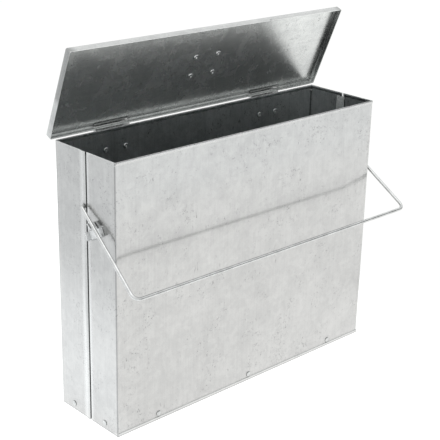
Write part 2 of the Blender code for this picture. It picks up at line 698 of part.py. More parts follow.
def make_pull_ring(axis):
    """D-shaped wire ring whose straight bar turns under the bridge."""
    half = RING_WIDTH / 2
    bar = [Vector((0, 0)), Vector((half, 0)), Vector((half, RING_REACH)), Vector((0, RING_REACH))]
    right = round_corners(bar, RING_BEND_RADII, segments=6)
    left = [Vector((-p.x, p.y)) for p in reversed(right[1:-1])]
    path = [Vector((p.x, p.y, 0)) for p in right + left]
    ring = wire("lid_pull_ring", path, RING_WIRE, closed=True)
    return finish(ring, (0.70, 0.71, 0.71), 0.25, parent=axis, location=ring_pivot())


def make_pull_rivets(axis):
    grip = PULL_PLATE_SHEET + GAP + SHEET
    profile = rivet_profile(grip, *PULL_RIVET)
    names = [f"lid_pull_rivet_{row}_{side}" for row in ("front", "rear") for side in ("left", "right")]
    places = pull_rivet_places(LID_TOP_Z + GAP + PULL_PLATE_SHEET)
    make_rivets(names, places, (0, 0, 1), profile, parent=axis)


def main():
    clear_scene()
    make_front_shell()
    make_rear_shell()
    make_base_pan()
    make_seam_strip("seam_strip_left", -1)
    make_seam_strip("seam_strip_right", 1)
    make_base_rivets()
    make_bail()
    make_bail_stop("bail_stop_left", -1)
    make_bail_stop("bail_stop_right", 1)
    make_stop_rivets()
    lid_axis = make_lid_axis()
    make_lid_panel(lid_axis)
    make_hinges(lid_axis)
    make_pull_plate(lid_axis)
    make_pull_ring(lid_axis)
    make_pull_rivets(lid_axis)


main()
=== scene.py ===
"""Looks of the galvanised feed box: fine meshes, metals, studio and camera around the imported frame.

Units are metres, +Z is up, +X runs along the box and -Y is its front, as in the frame.
"""

import json
import math

import bmesh
import bpy
from mathutils import Matrix, Vector, noise


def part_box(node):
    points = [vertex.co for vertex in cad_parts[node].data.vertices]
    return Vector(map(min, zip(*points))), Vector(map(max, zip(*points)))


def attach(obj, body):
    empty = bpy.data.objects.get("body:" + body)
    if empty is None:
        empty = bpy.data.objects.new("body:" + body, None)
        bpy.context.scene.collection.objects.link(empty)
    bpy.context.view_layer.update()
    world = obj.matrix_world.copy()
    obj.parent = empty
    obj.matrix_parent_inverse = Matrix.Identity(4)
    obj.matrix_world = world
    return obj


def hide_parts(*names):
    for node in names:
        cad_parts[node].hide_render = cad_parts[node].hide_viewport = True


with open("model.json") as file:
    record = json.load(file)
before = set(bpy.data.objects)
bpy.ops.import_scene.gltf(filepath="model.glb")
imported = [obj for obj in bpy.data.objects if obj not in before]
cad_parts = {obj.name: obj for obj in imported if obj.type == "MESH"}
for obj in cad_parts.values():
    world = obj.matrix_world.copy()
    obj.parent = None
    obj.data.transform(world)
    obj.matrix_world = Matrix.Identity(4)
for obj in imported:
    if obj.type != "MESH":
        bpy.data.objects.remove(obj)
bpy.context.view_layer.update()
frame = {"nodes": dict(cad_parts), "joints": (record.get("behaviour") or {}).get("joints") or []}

MM = 0.001

# ---------------------------------------------------------------- sizes read from the frame
JOINTS = {joint["name"]: joint for joint in frame["joints"]}
HALF_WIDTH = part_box("front_shell")[1].x
HALF_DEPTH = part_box("rear_shell")[1].y
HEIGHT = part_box("front_shell")[1].z
# Each shell's free edge stands back by this much, so that the seam reads as a dark line
SEAM_EASE = 0.8 * MM
FRONT_EDGE_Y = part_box("front_shell")[1].y - SEAM_EASE
REAR_EDGE_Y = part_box("rear_shell")[0].y + SEAM_EASE
SEAM_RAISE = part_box("rear_shell")[1].x - HALF_WIDTH
BOTTOM_RAISE = -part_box("front_shell")[0].y - HALF_DEPTH
BAIL_PIVOT = Vector(JOINTS["bail_pivot"]["pos_m"])
HINGE = Vector(JOINTS["lid_hinge"]["pos_m"])
RING_PIVOT = Vector(JOINTS["pull_ring_hinge"]["pos_m"])
OPEN_ANGLE = -math.radians(JOINTS["lid_hinge"]["range_deg"][0])
# Takes a point of the shut lid, measured from the hinge axis, to where it is at rest
LID_POSE = Matrix.Translation(HINGE) @ Matrix.Rotation(-OPEN_ANGLE, 4, "X")

# ---------------------------------------------------------------- sheet and its folds
SHEET = 0.7 * MM
BEND = 1.6 * MM
HEM_HEIGHT = 4.5 * MM
HEM_STEP = 0.35 * MM
SEAM_HEM_WIDTH = 8.4 * MM
SEAM_HEM_EASE = 0.9 * MM
STRIP_TOP_CLEARANCE = 1 * MM
WALL_ROWS = 32
WALL_ROW_MARGIN = 6 * MM
PAN_BEND = 1.4 * MM
# How deep the thin sheet lies below flat at most, and how far from its edges that starts to fade
WAVE = 0.30 * MM
WAVE_FADE = 30 * MM
FLAT_AT_FOOT = 18 * MM
FLAT_AT_TOP = 8 * MM
FLAT_AT_SEAM = 14 * MM
# Largest step between the cross-sections that follow one another along a sheet or wire
STATION_STEP = 11 * MM

# ---------------------------------------------------------------- lid and hinges
LID_CORNER = 2.5 * MM
LID_HEM = 4.0 * MM
SLIT_CLEARANCE = 0.5 * MM
SLIT_HEIGHT = 2.6 * MM
SLIT_DEPTH = 4 * MM
SLIT_INSET = 1 * MM
LEAF = 1.0 * MM
CURL = 2.8 * MM
CURL_SWEEP = math.radians(285)
CURL_SEGMENTS = 36
KNUCKLES = 5
KNUCKLE_GAP = 0.4 * MM
LEAF_CRANK_Z = 384 * MM
LEAF_CRANK_BEND = 2.5 * MM
LEAF_CRANK_TOP = -5 * MM
LEAF_SHOULDER = -4.2 * MM
# How much shorter the visible lid leaf is than its CAD node
LEAF_TUCK = 4.5 * MM

# ---------------------------------------------------------------- bail, pull and welds
WIRE = 5 * MM
BAIL_REACH = 127.8 * MM
BAIL_DROP = 88.5 * MM
BAIL_PIVOT_HALF_WIDTH = 259 * MM
BAIL_CORNER_HALF_WIDTH = 271.6 * MM
BAIL_INNER_END_X = 246.5 * MM
BAIL_INNER_END = 9 * MM
BAIL_BENDS = [3.6 * MM, 4.2 * MM, 10 * MM]
BAIL_HOLE = 3.1 * MM
RING_WIRE = 4 * MM
RING_WIDTH = 29 * MM
RING_REACH = 26 * MM
RING_BENDS = [5 * MM, 11 * MM]
RING_CLEARANCE = 0.3 * MM
BRIDGE_LENGTH = 16 * MM
BRIDGE_FOOT = 2 * MM
BRIDGE_SPRING = 0.6 * MM
PLATE_CORNER = 5 * MM
RIVET_SHANK = 1.9 * MM
EASE = 0.2 * MM
CLIP_EASE = 0.18 * MM
WELD_INSET = 1.5 * MM
WELD_DEPTH = 9 * MM
ROUND = 40

# ---------------------------------------------------------------- camera and studio
CAMERA_PLACE = (-1.06705, -1.12454, 0.83122)
CAMERA_AZIMUTH = math.radians(-43.325)
CAMERA_ELEVATION = math.radians(20.787)
CAMERA_ROLL = math.radians(1.4026)
CAMERA_LENS = 90.48
CAMERA_SENSOR = 36
WORLD_COLOUR = (0.985, 0.997, 1.0, 1)
WORLD_STRENGTH = 1.14
FLOOR_REACH = 15
FLOOR_GAP = 0.2 * MM
# The floor's light: weak far out on the left, strongest beside the left end, weaker from there on,
# and weakest to the right and behind
FLOOR_FAR_LEFT = 1.05
FLOOR_LEFT = 1.50
FLOOR_LEFT_EDGE = (-0.61, -0.43)
FLOOR_UNDER_DROP = 0.17
FLOOR_UNDER_EDGE = (-0.35, -0.15)
FLOOR_RIGHT_DROP = 0.31
FLOOR_RIGHT_EDGE_X = (0.34, 0.48)
FLOOR_RIGHT_EDGE_Y = (-0.28, -0.18)
# The floor's tints, each within a few hundredths of white, and where one gives way to the next
TINT_LEFT = (0.98, 1.0, 1.015)
TINT_NEAR = (1.0, 1.0, 0.994)
TINT_FRONT = (0.98, 1.0, 1.01)
TINT_LEFT_EDGE = (-0.30, -0.20)
TINT_FRONT_EDGE = (-0.70, -0.85)
FLAG_RADIUS = 3.4
FLAG_START = 270
FLAG_END = 345
FLAG_PANELS = 40
FLAG_FOOT = 0.15
FLAG_HEIGHT = 1.9
FLAG_GREY = (0.20, 0.20, 0.20, 1)
SOFTBOX_PLACE = (-0.5, -0.4, 2.8)
SOFTBOX_TARGET = (-0.5, -0.4, 0)
SOFTBOX_SIZE = 1.8
SOFTBOX_POWER = 9


# ---------------------------------------------------------------- mesh helpers
def local_box(node, pose):
    """Lowest and highest corner of a CAD node, measured in another pose's own axes."""
    back = pose.inverted()
    points = [back @ v.co for v in frame["nodes"][node].data.vertices]
    low = Vector([min(p[i] for p in points) for i in range(3)])
    high = Vector([max(p[i] for p in points) for i in range(3)])
    return low, high


def in_box(point):
    """True for points further in than the middle of the box's sheet."""
    return abs(point.x) < HALF_WIDTH - SHEET / 2 and abs(point.y) < HALF_DEPTH - SHEET / 2


def in_corner_bend(point):
    """True for points on the bends at the box's four upright corners."""
    margin = BEND - 0.05 * MM
    return abs(point.x) > HALF_WIDTH - margin and abs(point.y) > HALF_DEPTH - margin


def add_wear_and_highlight(mesh):
    """Marks how sharply the surface turns at each point, for worn edges that the materials paint bright as a
    highlight.
    """
    full_turn = math.radians(50)
    bm = bmesh.new()
    bm.from_mesh(mesh)
    values = []
    for vert in bm.verts:
        turns = [edge.calc_face_angle(0.0) for edge in vert.link_edges]
        values.append(min(1.0, max(turns, default=0.0) / full_turn))
    bm.free()
    layer = mesh.attributes.new("wear_and_highlight", "FLOAT", "POINT")
    layer.data.foreach_set("value", values)


def add_mask(mesh, name, flags):
    """Stores one flag a point as an attribute that the materials can read."""
    layer = mesh.attributes.new(name, "FLOAT", "POINT")
    layer.data.foreach_set("value", [float(flag) for flag in flags])


def piece(name, bm, material, body, nodes=(), pose=None, sharp=38, inner=in_box):
    """Turns a bmesh into a finished piece that rides on a body and stands for its CAD nodes."""
    bmesh.ops.remove_doubles(bm, verts=bm.verts, dist=0.002 * MM)
    bmesh.ops.recalc_face_normals(bm, faces=bm.faces)
    # Inner faces, painted lighter by the materials and left without the coat
    inside = [inner(vert.co) for vert in bm.verts]
    # Corner bends, on which the sheet materials paint shade
    bent = [in_corner_bend(vert.co) for vert in bm.verts]
    if pose is not None:
        bm.transform(pose)
    mesh = bpy.data.meshes.new(name)
    bm.to_mesh(mesh)
    bm.free()
    mesh.shade_smooth()
    mesh.set_sharp_from_angle(angle=math.radians(sharp))
    add_wear_and_highlight(mesh)
    add_mask(mesh, "inside", inside)
    add_mask(mesh, "bent", bent)
    mesh.materials.append(material)
    item = bpy.data.objects.new(name, mesh)
    bpy.context.scene.collection.objects.link(item)
    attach(item, body)
    if nodes:
        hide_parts(*nodes)
    return item


def skin(bm, loops, closed=False):
    """Faces through equal loops of points; an open run of loops is capped at both ends."""
    rings = [[bm.verts.new(point) for point in loop] for loop in loops]
    pairs = list(zip(rings, rings[1:]))
    if closed:
        pairs.append((rings[-1], rings[0]))
    for lower, upper in pairs:
        for i in range(len(lower)):
            j = (i + 1) % len(lower)
            bm.faces.new((lower[i], lower[j], upper[j], upper[i]))
    if not closed:
        bm.faces.new(list(reversed(rings[0])))
        bm.faces.new(rings[-1])


def arc(centre, radius, start, end, segments):
    """Points along a flat arc, both ends included."""
    points = []
    for i in range(segments + 1):
        angle = start + (end - start) * i / segments
        x = centre[0] + radius * math.cos(angle)
        y = centre[1] + radius * math.sin(angle)
        points.append(Vector((x, y)))
    return points


def round_corners(points, radii, segments=8):
    """Replaces the inner corners of an open path by arcs, in two or three dimensions."""
    points = [Vector(p) for p in points]
    path = [points[0]]
    for before, corner, after, radius in zip(points, points[1:], points[2:], radii):
        back = (before - corner).normalized()
        ahead = (after - corner).normalized()
        half = back.angle(ahead) / 2
        reach = radius / math.tan(half)
        centre = corner + (back + ahead).normalized() * (radius / math.sin(half))
        start = corner + back * reach - centre
        end = corner + ahead * reach - centre
        sweep = start.angle(end)
        for i in range(segments + 1):
            t = i / segments
            blend = start * math.sin((1 - t) * sweep) + end * math.sin(t * sweep)
            path.append(centre + blend / math.sin(sweep))
    path.append(points[-1])
    return path


def densify(path, step, closed=False):
    """Adds points so that no straight stretch of a path is longer than a step."""
    result = []
    ends = path[1:] + ([path[0]] if closed else [])
    for start, end in zip(path, ends):
        count = max(1, math.ceil((end - start).length / step))
        result += [start.lerp(end, i / count) for i in range(count)]
    if not closed:
        result.append(path[-1])
    return result


def plan_normals(path, closed=False):
    """Outward normals of a flat path that keeps the object on its left."""
    count = len(path)
    normals = []
    for i, point in enumerate(path):
        before = path[i - 1] if i > 0 or closed else point
        after = path[(i + 1) % count] if i < count - 1 or closed else point
        along = (after - before).normalized()
        normals.append(Vector((along.y, -along.x)))
    return normals


def dome(end, inwards, radius):
    """Rings (place, tangent, across, scale) that round off one end of a wire, tip first."""
    place, tangent, across, _ = end
    rise = 0.45
    rings = []
    for scale, step in ((0.55, rise), (0.88, rise * 0.55), (1.0, 0.0)):
        rings.append((place + inwards * tangent * radius * (rise - step), tangent, across, scale))
    return rings


def tube(bm, path, radius, closed=False, sides=24):
    """Round wire along a path, with domed ends on an open one."""
    count = len(path)
    tangents = []
    for i, point in enumerate(path):
        before = path[i - 1] if i > 0 or closed else point
        after = path[(i + 1) % count] if i < count - 1 or closed else point
        tangents.append((after - before).normalized())
    across = tangents[0].orthogonal().normalized()
    rings = []
    for i, tangent in enumerate(tangents):
        if i > 0:
            across = tangents[i - 1].rotation_difference(tangent) @ across
        rings.append((path[i], tangent, across.copy(), 1.0))
    if closed:
        end = tangents[-1].rotation_difference(tangents[0]) @ across
        start = rings[0][2]
        twist = math.atan2(end.cross(start).dot(tangents[0]), end.dot(start))
        for i, (place, tangent, across, scale) in enumerate(rings):
            turned = Matrix.Rotation(twist * i / count, 3, tangent) @ across
            rings[i] = (place, tangent, turned, scale)
    else:
        rings = dome(rings[0], 1, radius) + rings[1:-1] + dome(rings[-1], -1, radius)[::-1]
    turns = [2 * math.pi * k / sides for k in range(sides)]
    loops = []
    for place, tangent, across, scale in rings:
        side = tangent.cross(across)
        loops.append([place + (across * math.cos(a) + side * math.sin(a)) * radius * scale for a in turns])
    skin(bm, loops, closed)


def lathe(bm, profile, place, outward, sides=ROUND):
    """Turns a (radius, height) profile about a line through a place; it ends on the axis."""
    turn = Vector((0, 0, 1)).rotation_difference(Vector(outward)).to_matrix()
    rings = []
    for radius, height in profile:
        if radius == 0:
            rings.append([bm.verts.new(place + turn @ Vector((0, 0, height)))])
            continue
        ring = []
        for i in range(sides):
            angle = 2 * math.pi * i / sides
            spoke = Vector((radius * math.cos(angle), radius * math.sin(angle), height))
            ring.append(bm.verts.new(place + turn @ spoke))
        rings.append(ring)
    for upper, lower in zip(rings, rings[1:]):
        for i in range(sides):
            j = (i + 1) % sides
            corners = [upper[i % len(upper)], upper[j % len(upper)],
                       lower[j % len(lower)], lower[i % len(lower)]]
            # A ring that is one point gives the same corner twice, and a triangle needs it once
            bm.faces.new(list(dict.fromkeys(corners)))


def strip_outline(points, thickness):
    """Outline of a bent strip of even thickness, with softly rounded ends."""
    left, right = [], []
    for i, point in enumerate(points):
        along = (points[min(i + 1, len(points) - 1)] - points[max(i - 1, 0)]).normalized()
        normal = Vector((-along.y, along.x)) * thickness / 2
        left.append(point + normal)
        right.append(point - normal)
    soft = thickness * 0.3
    for end, inner in ((0, 1), (-1, -2)):
        direction = (points[end] - points[inner]).normalized()
        for side in (left, right):
            side[end] = side[end] - direction * soft
    ahead = (points[-1] - points[-2]).normalized() * soft
    behind = (points[0] - points[1]).normalized() * soft
    tip = [points[-1].lerp(side[-1] + ahead, 0.6) for side in (left, right)]
    root = [points[0].lerp(side[0] + behind, 0.6) for side in (right, left)]
    return left + tip + right[::-1] + root


def bent_strip(bm, path, thickness, low_x, high_x, edge=0.15 * MM):
    """Extrudes a bent strip along X, with its side edges eased."""
    slim = strip_outline(path, thickness - 2 * edge)
    full = strip_outline(path, thickness)
    loops = []
    for x, outline in ((low_x, slim), (low_x + edge, full), (high_x - edge, full), (high_x, slim)):
        loops.append([Vector((x, p.x, p.y)) for p in outline])
    skin(bm, loops)


def cut(item, bm):
    """Takes the volume of a bmesh out of a finished piece."""
    bmesh.ops.recalc_face_normals(bm, faces=bm.faces)
    mesh = bpy.data.meshes.new("cutter")
    bm.to_mesh(mesh)
    bm.free()
    cutter = bpy.data.objects.new("cutter", mesh)
    bpy.context.scene.collection.objects.link(cutter)
    modifier = item.modifiers.new("cut", "BOOLEAN")
    modifier.object = cutter
    modifier.solver = "EXACT"
    depsgraph = bpy.context.evaluated_depsgraph_get()
    result = bpy.data.meshes.new_from_object(item.evaluated_get(depsgraph))
    item.modifiers.clear()
    item.data = result
    bpy.data.objects.remove(cutter, do_unlink=True)


def cut_round(item, centre, radius, length):
    """Cuts a round hole along X."""
    bm = bmesh.new()
    profile = [(0, length / 2), (radius, length / 2), (radius, -length / 2), (0, -length / 2)]
    lathe(bm, profile, Vector(centre), (1, 0, 0))
    cut(item, bm)


# ---------------------------------------------------------------- procedural metals
# Colour of worn edges, also a painted highlight on hems and bends
WORN_ZINC_HIGHLIGHT = (0.82, 0.83, 0.82)
SHEET_RELIEF = 0.05 * MM
WIRE_RELIEF = 0.02 * MM
COAT_IOR = 2.1
COAT_ROUGHNESS = 0.07


class Graph:
    """Small helper that adds and links shader nodes for one material."""

    def __init__(self, name):
        self.material = bpy.data.materials.new(name)
        self.material.use_nodes = True
        self.nodes = self.material.node_tree.nodes
        self.links = self.material.node_tree.links
        self.shader = self.nodes["Principled BSDF"]
        self.coordinates = self.nodes.new("ShaderNodeTexCoord").outputs["Object"]

    def link(self, value, socket):
        """Feeds a socket from another node's output, or sets it to a plain value."""
        if hasattr(value, "links"):
            self.links.new(value, socket)
        else:
            socket.default_value = value

    def math(self, operation, a, b, clamp=False):
        """One step of arithmetic on values that vary over the surface."""
        node = self.nodes.new("ShaderNodeMath")
        node.operation = operation
        node.use_clamp = clamp
        self.link(a, node.inputs[0])
        self.link(b, node.inputs[1])
        return node.outputs[0]

    def stretched(self, stretch):
        """The object's coordinates, scaled along each axis."""
        node = self.nodes.new("ShaderNodeMapping")
        node.inputs["Scale"].default_value = stretch
        self.links.new(self.coordinates, node.inputs["Vector"])
        return node.outputs["Vector"]

    def noise(self, scale, detail=3.0, roughness=0.55, stretch=(1, 1, 1), distortion=0.0):
        """Cloudy noise from 0 to 1."""
        node = self.nodes.new("ShaderNodeTexNoise")
        node.inputs["Scale"].default_value = scale
        node.inputs["Detail"].default_value = detail
        node.inputs["Roughness"].default_value = roughness
        node.inputs["Distortion"].default_value = distortion
        self.links.new(self.stretched(stretch), node.inputs["Vector"])
        return node.outputs["Fac"]

    def cells(self, scale, stretch=(1, 1, 1)):
        """One random value for each crystal of the zinc."""
        node = self.nodes.new("ShaderNodeTexVoronoi")
        node.inputs["Scale"].default_value = scale
        self.links.new(self.stretched(stretch), node.inputs["Vector"])
        split = self.nodes.new("ShaderNodeSeparateColor")
        self.links.new(node.outputs["Color"], split.inputs[0])
        return split.outputs[0]

    def ramp(self, value, low, high, to_low=0.0, to_high=1.0):
        """Soft step from one value to another between low and high."""
        node = self.nodes.new("ShaderNodeMapRange")
        node.interpolation_type = "SMOOTHSTEP"
        self.link(value, node.inputs["Value"])
        node.inputs["From Min"].default_value = low
        node.inputs["From Max"].default_value = high
        node.inputs["To Min"].default_value = to_low
        node.inputs["To Max"].default_value = to_high
        return node.outputs["Result"]

    def mix(self, value, first, second):
        """Blends two colours, each a plain colour or another node's output."""
        node = self.nodes.new("ShaderNodeMix")
        node.data_type = "RGBA"
        self.link(value, node.inputs[0])
        for colour, socket in ((first, node.inputs[6]), (second, node.inputs[7])):
            plain = isinstance(colour, tuple)
            self.link((*colour, 1) if plain else colour, socket)
        return node.outputs[2]

    def occlusion_shade(self, distance):
        """0 in the open, rising to 1 in folds and around rivets: painted shade from ambient occlusion."""
        node = self.nodes.new("ShaderNodeAmbientOcclusion")
        node.samples = 6
        node.inputs["Distance"].default_value = distance
        shut = self.math("SUBTRACT", 1.0, node.outputs["AO"])
        return self.math("MULTIPLY", shut, 2.0, clamp=True)

    def attribute(self, name):
        """A mask that is stored with the mesh."""
        node = self.nodes.new("ShaderNodeAttribute")
        node.attribute_name = name
        return node.outputs["Fac"]

    def bump(self, height, distance, layers=("Normal",)):
        """Relief on the shader's base, and on its coat when that is named too."""
        node = self.nodes.new("ShaderNodeBump")
        node.inputs["Strength"].default_value = 1.0
        node.inputs["Distance"].default_value = distance
        self.links.new(height, node.inputs["Height"])
        for layer in layers:
            self.links.new(node.outputs["Normal"], self.shader.inputs[layer])


def shaded(colour, share):
    """A colour at a share of its brightness."""
    return tuple(share * channel for channel in colour)


def galvanised(name, dark, light, roughness, grain_axis=2, inner=None, glossy_outside=False, metallic=1.0):
    """Hot-dipped sheet: cloudy zinc, faint crystals, rolling streaks, scuffs, painted shade in creases and on
    corner bends, worn edges with a painted highlight, painted light on inner faces.
    """
    g = Graph(name)
    rolled = [1.0, 1.0, 1.0]
    rolled[grain_axis] = 0.05
    drawn_out = [1.0, 1.0, 1.0]
    drawn_out[grain_axis] = 0.25
    clouds = g.noise(7, 5, 0.62)
    patches = g.noise(34, 5, 0.66, distortion=0.6)
    crystals = g.cells(150)
    grain = g.noise(620, 3, 0.7)
    rolling = g.noise(340, 3, 0.6, stretch=rolled)
    scuffs = g.ramp(g.noise(190, 3, 0.62, stretch=drawn_out), 0.62, 0.74)
    scuff_places = g.ramp(g.noise(13, 4, 0.65), 0.52, 0.66)
    specks = g.ramp(g.noise(300, 4, 0.78), 0.54, 0.66)
    speck_places = g.ramp(g.noise(21, 5, 0.72, distortion=0.9), 0.50, 0.62)
    smudges = g.ramp(g.noise(12, 6, 0.74, distortion=1.4), 0.56, 0.74)
    wear_and_highlight = g.attribute("wear_and_highlight")
    occlusion_shade = g.occlusion_shade(3 * MM)

    tone = g.math("MULTIPLY", clouds, 0.35)
    for layer, share in ((patches, 0.50), (crystals, 0.10), (grain, 0.40), (rolling, 0.30)):
        tone = g.math("ADD", tone, g.math("MULTIPLY", layer, share))
    tone = g.ramp(tone, 0.58, 1.08)
    scuffed = g.math("MULTIPLY", scuffs, scuff_places)
    specked = g.math("MULTIPLY", specks, speck_places)
    marks = g.math("MULTIPLY", g.math("MAXIMUM", scuffed, specked), 0.75)
    soiled = g.math("ADD", marks, g.math("MULTIPLY", smudges, 0.22))
    tone = g.math("SUBTRACT", tone, soiled, clamp=True)

    colour = g.mix(tone, dark, light)
    # Inner faces take the lighter inner colours: painted light on the shaded inside
    if inner:
        colour = g.mix(g.attribute("inside"), colour, g.mix(tone, *inner))
    colour = g.mix(marks, colour, shaded(dark, 0.42))
    # Painted shade on the bends at the box's upright corners
    colour = g.mix(g.math("MULTIPLY", g.attribute("bent"), 0.62), colour, shaded(dark, 0.35))
    # Sharp edges lightened: worn zinc together with a painted highlight along hems and bends
    colour = g.mix(g.ramp(wear_and_highlight, 0.30, 1.0, 0.0, 0.42), colour, WORN_ZINC_HIGHLIGHT)
    # Painted shade: folds and the sheet round rivets darkened by ambient occlusion
    colour = g.mix(g.math("MULTIPLY", occlusion_shade, 0.80), colour, shaded(dark, 0.30))
    g.links.new(colour, g.shader.inputs["Base Color"])
    g.shader.inputs["Metallic"].default_value = metallic

    rough = g.math("ADD", roughness - 0.05, g.math("MULTIPLY", patches, 0.10))
    rough = g.math("ADD", rough, g.math("MULTIPLY", soiled, 0.25))
    rough = g.math("SUBTRACT", rough, g.math("MULTIPLY", wear_and_highlight, 0.08))
    g.links.new(rough, g.shader.inputs["Roughness"])

    height = g.math("ADD", g.math("MULTIPLY", patches, 0.9), g.math("MULTIPLY", grain, 0.12))
    height = g.math("SUBTRACT", height, g.math("MULTIPLY", marks, 0.35))
    g.bump(height, SHEET_RELIEF, ("Normal", "Coat Normal") if glossy_outside else ("Normal",))
    if glossy_outside:
        # A faint sharp reflection over the soft one, in which the bail's wire shows
        g.links.new(g.math("SUBTRACT", 1.0, g.attribute("inside")), g.shader.inputs["Coat Weight"])
        g.shader.inputs["Coat IOR"].default_value = COAT_IOR
        g.shader.inputs["Coat Roughness"].default_value = COAT_ROUGHNESS
    return g.material


def drawn_metal(name, dark, light, roughness, scale=1.0):
    """Plated wire, rivets and small pressings: soft mottling, nicks, worn edges with a painted highlight, and
    painted shade in creases.
    """
    g = Graph(name)
    clouds = g.noise(70 * scale, 4, 0.6)
    grain = g.noise(1500 * scale, 2, 0.6)
    nicks = g.ramp(g.noise(420 * scale, 4, 0.7), 0.63, 0.76)
    wear_and_highlight = g.attribute("wear_and_highlight")
    tone = g.math("ADD", g.math("MULTIPLY", clouds, 0.8), g.math("MULTIPLY", grain, 0.2))
    tone = g.ramp(tone, 0.32, 0.68)
    tone = g.math("SUBTRACT", tone, g.math("MULTIPLY", nicks, 0.45))
    # Edges lightened: wear together with a painted highlight
    tone = g.math("ADD", tone, g.math("MULTIPLY", wear_and_highlight, 0.3), clamp=True)
    # Painted shade in folds and around rivet heads, from ambient occlusion
    occlusion_shade = g.math("MULTIPLY", g.occlusion_shade(2.5 * MM), 0.45)
    colour = g.mix(occlusion_shade, g.mix(tone, dark, light), shaded(dark, 0.30))
    g.links.new(colour, g.shader.inputs["Base Color"])
    g.shader.inputs["Metallic"].default_value = 1.0
    rough = g.math("ADD", roughness - 0.04, g.math("MULTIPLY", clouds, 0.08))
    rough = g.math("ADD", rough, g.math("MULTIPLY", nicks, 0.12))
    g.links.new(rough, g.shader.inputs["Roughness"])
    height = g.math("SUBTRACT", g.math("MULTIPLY", grain, 0.3), nicks)
    g.bump(height, WIRE_RELIEF)
    return g.material


# Each inner pair is lighter than the outer one: painted light on the inner faces
SHELL_METAL = galvanised("galvanised_shell", (0.355, 0.355, 0.35), (0.48, 0.48, 0.47), 0.30,
                         inner=((0.53, 0.555, 0.555), (0.84, 0.86, 0.865)), glossy_outside=True)
LID_METAL = galvanised("galvanised_lid", (0.47, 0.475, 0.47), (0.62, 0.625, 0.615), 0.27, grain_axis=0,
                       inner=((0.54, 0.555, 0.55), (0.72, 0.735, 0.72)), metallic=0.95)
LEAF_METAL = galvanised("galvanised_leaf", (0.50, 0.51, 0.50), (0.64, 0.65, 0.64), 0.28, grain_axis=0)
PAN_METAL = galvanised("galvanised_pan", (0.45, 0.46, 0.46), (0.58, 0.59, 0.58), 0.36, grain_axis=0)
STRIP_METAL = galvanised("galvanised_strip", (0.55, 0.56, 0.55), (0.68, 0.69, 0.68), 0.34)
FITTING_METAL = drawn_metal("pressed_zinc", (0.62, 0.63, 0.63), (0.78, 0.79, 0.79), 0.55)
WIRE_METAL = drawn_metal("drawn_zinc_wire", (0.46, 0.465, 0.46), (0.62, 0.625, 0.62), 0.22)
RIVET_METAL = drawn_metal("rivet_zinc", (0.46, 0.47, 0.47), (0.62, 0.63, 0.62), 0.24, scale=2.0)


# ---------------------------------------------------------------- folded shells
def slow_noise(x, y, z):
    """Smooth noise from 0 to 1."""
    return noise.noise(Vector((x, y, z))) * 0.5 + 0.5


def wave(x, y, z, edge_distance):
    """How far the sheet lies inwards of its flat plane; nothing near its edges."""
    fade = min(1.0, max(0.0, edge_distance / WAVE_FADE))
    upright = min(z - FLAT_AT_FOOT, HEIGHT - FLAT_AT_TOP - z)
    fade *= min(1.0, max(0.0, upright / WAVE_FADE))
    return -WAVE * fade * slow_noise(x * 7, y * 7 + 3.1, z * 6)


def wall_section(out_hem, in_hem, bottom, raised, sag):
    """(offset, z) points round a wall's cross-section, from its inner foot up and back down inside.

    out_hem and in_hem are the top hem's thickness outside and inside, bottom is how far the foot hem
    stands out, raised how far the whole sheet does, and sag(z) moves the plain sheet inwards.
    The small steps of a few tenths of a millimetre round the folded edges.
    """
    hem_foot = HEIGHT - HEM_HEIGHT
    foot = max(bottom, raised)
    lip = max(out_hem, raised)
    back = SHEET + in_hem
    spread = (HEIGHT - 2 * WALL_ROW_MARGIN) / WALL_ROWS
    rows = [WALL_ROW_MARGIN + spread * i for i in range(WALL_ROWS + 1)]
    section = [(-SHEET, 0.5 * MM), (-SHEET + 0.2 * MM, 0.12 * MM), (0.0, 0.0)]
    section += [(foot - 0.15 * MM, 0.12 * MM), (foot, 0.5 * MM), (foot, 4.0 * MM)]
    section += [(foot - 0.3 * (foot - raised), 4.4 * MM), (raised, 4.75 * MM)]
    section += [(raised + sag(z), z) for z in rows]
    section += [(raised, hem_foot - HEM_STEP), (lip - 0.3 * (lip - raised), hem_foot)]
    section += [(lip, hem_foot + 0.4 * MM), (lip, HEIGHT - 0.65 * MM), (lip - 0.2 * MM, HEIGHT - 0.2 * MM)]
    section += [((lip - back) / 2, HEIGHT)]
    section += [(0.2 * MM - back, HEIGHT - 0.2 * MM), (-back, HEIGHT - 0.65 * MM)]
    section += [(-back, hem_foot + 0.4 * MM)]
    section += [(-SHEET - 0.7 * in_hem, hem_foot), (-SHEET, hem_foot - HEM_STEP)]
    section += [(-SHEET + sag(z), z) for z in reversed(rows)]
    return section


def shell_loops(path, weights):
    """One closed loop for each station of a plan path; weights(point, run, total) gives its hems."""
    normals = plan_normals(path)
    runs = [0.0]
    for before, after in zip(path, path[1:]):
        runs.append(runs[-1] + (after - before).length)
    loops = []
    for point, normal, run in zip(path, normals, runs):
        edge = min(run, runs[-1] - run) - FLAT_AT_SEAM
        corner = math.hypot(HALF_WIDTH - abs(point.x), HALF_DEPTH - abs(point.y))
        clear = min(edge, corner)
        section = wall_section(*weights(point, run, runs[-1]), lambda z: wave(point.x, point.y, z, clear))
        loops.append([Vector((point.x + normal.x * o, point.y + normal.y * o, z)) for o, z in section])
    return loops


def make_front_shell():
    """Front panel and front halves of the ends, hems folded outwards on the front only."""
    corners = [(-HALF_WIDTH, FRONT_EDGE_Y), (-HALF_WIDTH, -HALF_DEPTH),
               (HALF_WIDTH, -HALF_DEPTH), (HALF_WIDTH, FRONT_EDGE_Y)]
    path = densify(round_corners(corners, [BEND, BEND]), STATION_STEP)

    def weights(point, run, total):
        front = min(1.0, max(0.0, (-HALF_DEPTH + BEND - point.y) / BEND))
        return SHEET * front, SHEET * (1 - front), BOTTOM_RAISE * front, 0.0

    bm = bmesh.new()
    skin(bm, shell_loops(path, weights))
    piece("front_casing", bm, SHELL_METAL, "box", ["front_shell"])


